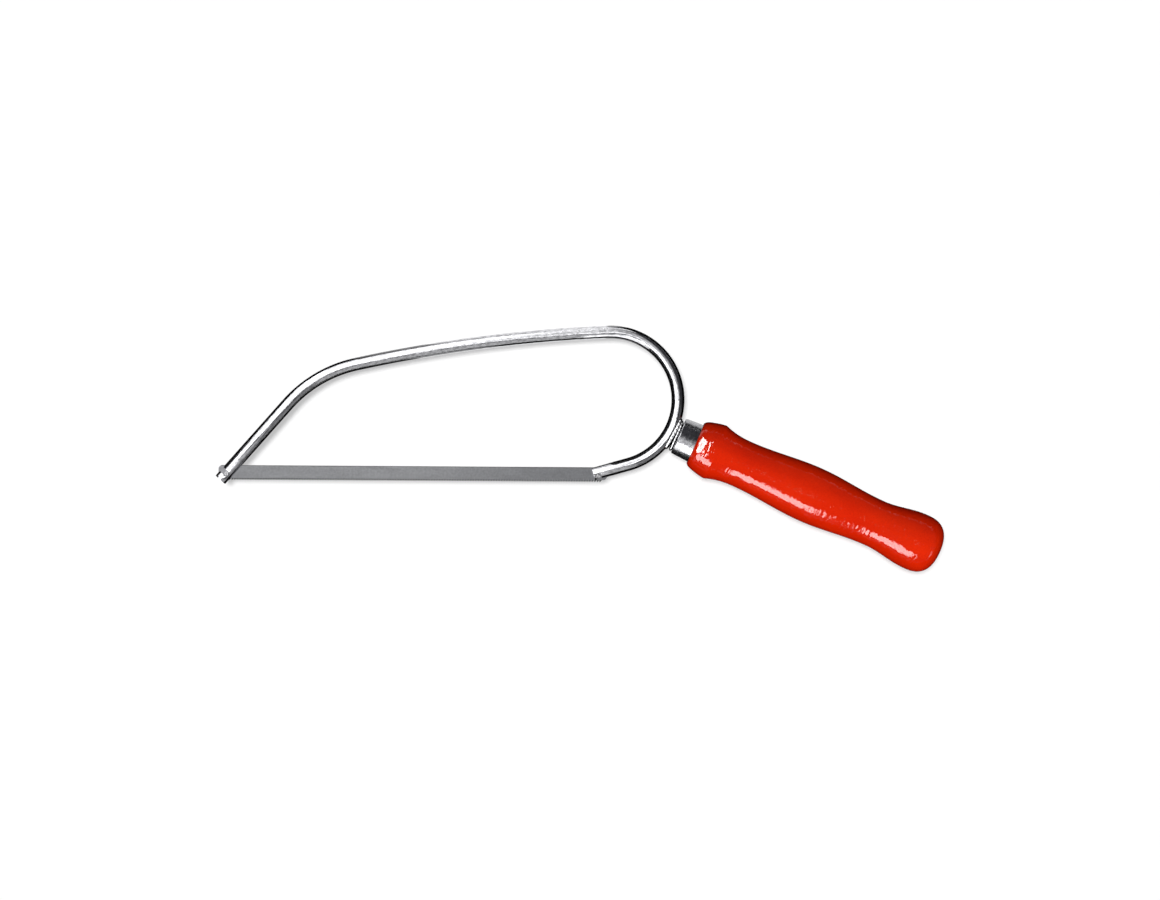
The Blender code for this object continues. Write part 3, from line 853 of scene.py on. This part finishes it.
def sunlamp(name, way, level, spread):
    sun = bpy.data.lights.new(name, "SUN")
    sun.energy = level * pi
    sun.angle = radians(spread)
    lamp = bpy.data.objects.new(name, sun)
    lamp.rotation_euler = Vector(way).to_track_quat("Z", "Y").to_euler()
    lamp.visible_glossy = False
    bpy.context.scene.collection.objects.link(lamp)
    return lamp


def softbox(name, place, aim, width, height, radiance):
    """A panel that shows in reflections alone."""
    panel = bpy.data.lights.new(name, "AREA")
    panel.shape = "RECTANGLE"
    panel.size, panel.size_y = width, height
    panel.energy = radiance * pi * width * height
    lamp = bpy.data.objects.new(name, panel)
    lamp.location = place
    lamp.rotation_euler = (Vector(place) - Vector(aim)).to_track_quat("Z", "Y").to_euler()
    lamp.visible_camera = False
    lamp.visible_diffuse = False
    bpy.context.scene.collection.objects.link(lamp)
    return lamp


bright = (bow, weld, front_wire, rear_wire)
for name, way, level, spread, pieces in (
    ("key", (-0.085, 0.08, 1.0), 1.0, 12.0, (ground, ferrule, blade, *bright)),
    ("handle_key", (-0.03, -0.08, 1.0), 0.95, 20.0, (handle,)),
    ("handle_fill", (-0.36, -0.82, 0.35), 0.42, 40.0, (handle,)),
    ("butt_fill", (0.8, -0.45, 0.3), 0.16, 40.0, (handle,)),
):
    lit(sunlamp(name, way, level, spread), *pieces)

# These panels hang level over the saw and make the bands along the upper side of the rod.
overhead = 0.9
for name, x, y, width, depth, radiance in (
    ("left_overhead", -0.765, 0.7, 1.31, 1.8, 2.9),
    ("bar_overhead", -0.11, 0.925, 0.26, 1.35, 1.2),
    ("near_overhead", -0.17, 0.025, 0.14, 0.45, 2.8),
    ("bar_middle", -0.04, 0.025, 0.12, 0.45, 1.4),
    ("loop_overhead", 0.06, -0.09, 0.08, 0.22, 3.4),
    ("loop_grey", 0.2, 0.64, 0.34, 1.16, 0.62),
    ("loop_dim", 0.45, 0.22, 0.16, 0.6, 0.2),
    ("right_overhead", 0.18, -0.01, 0.16, 0.1, 3.4),
    ("mid_overhead", 0.15, -0.115, 0.1, 0.11, 3.4),
    ("low_overhead", 0.31, -0.155, 0.22, 0.19, 3.4),
):
    lit(softbox(name, (x, y, overhead), (x, y, 0.0), width, depth, radiance), *bright)

# These stand and hang round the saw, for the sides of the rod and for the other pieces. The ferrule's
# card lies on the floor beside it.
middle = (0.0, 0.0, 0.0)
weld_aim = (0.04, 0.0, 0.0)
for name, place, aim, width, height, radiance, pieces in (
    ("inner_wall", (-0.56, -0.64, 0.93), (0.02, 0.02, 0.93), 1.0, 1.5, 3.2, bright),
    ("arm_wall", (-1.3, 1.13, 0.5), (-0.12, 0.0, 0.01), 1.0, 0.6, 2.0, bright),
    ("far_wall", (-0.3, 1.7, 0.5), (-0.05, 0.0, 0.01), 1.8, 0.7, 1.6, bright),
    ("near_wall", (0.135, -1.0, 1.2), (0.135, 0.0, 1.2), 0.6, 2.4, 0.62, bright),
    ("near_right", (0.657, -0.847, 1.2), (-0.02, 0.02, 1.2), 0.55, 2.4, 0.14, bright),
    ("right_wall", (1.2, -0.8, 0.8), (0.0, 0.0, 0.1), 1.6, 1.0, 0.12, bright),
    ("weld_box", (0.1, -0.1, 0.8), weld_aim, 0.5, 0.5, 2.4, (weld,)),
    ("ferrule_box", (-0.38, -0.95, 0.5), middle, 1.4, 1.2, 3.0, (ferrule, weld)),
    ("ferrule_card", (0.06, 0.033, 0.0006), (0.06, 0.033, 1.0), 0.14, 0.056, 0.75, (ferrule,)),
    ("ferrule_rim", (-1.0, 0.45, 0.9), middle, 0.9, 0.8, 2.6, (ferrule,)),
    ("ferrule_step", (-0.11, -0.34, 0.9), weld_aim, 0.6, 0.36, 0.75, (ferrule,)),
    ("ferrule_top", (0.0, -0.1, 0.9), weld_aim, 0.6, 0.34, 0.3, (ferrule,)),
    ("blade_box", (-0.3, 0.0, 1.0), (-0.3, 0.0, 0.0), 0.8, 1.4, 0.78, (blade,)),
    ("nose_side", (-1.0, 0.62, 0.5), middle, 1.4, 0.8, 0.9, (ferrule, blade)),
    ("butt_side", (1.0, -0.62, 0.5), middle, 1.4, 0.8, 0.9, (ferrule, blade)),
    ("butt_gloss", (1.1, -0.88, 0.2), middle, 0.35, 0.3, 2.5, (handle,)),
    ("streak_lamp", (-0.48, -0.68, 0.57), middle, 0.9, 0.46, 10.5, (handle,)),
    ("collar_lamp", (-0.555, 0.248, 0.795), middle, 1.1, 0.42, 24.0, (handle,)),
):
    lit(softbox(name, place, aim, width, height, radiance), *pieces)

# The camera looks straight down on the plane of the saw, turned by the small angle at which it lies.
picture_width, picture_pixels_per_mm = 1160, 2.59
camera_x, camera_y, camera_turn = -0.06 * MM, -0.99 * MM, radians(0.354)
lens, sensor = 100.0, 36.0
view_width = picture_width / picture_pixels_per_mm * MM
camera_data = bpy.data.cameras.new("camera")
camera_data.lens = lens
camera_data.sensor_width = sensor
camera = bpy.data.objects.new("camera", camera_data)
camera.location = (camera_x, camera_y, front_pin.z + view_width * lens / sensor)
camera.rotation_euler = (0.0, 0.0, camera_turn)
bpy.context.scene.collection.objects.link(camera)
bpy.context.scene.camera = camera
bpy.context.scene.view_settings.view_transform = "Standard"
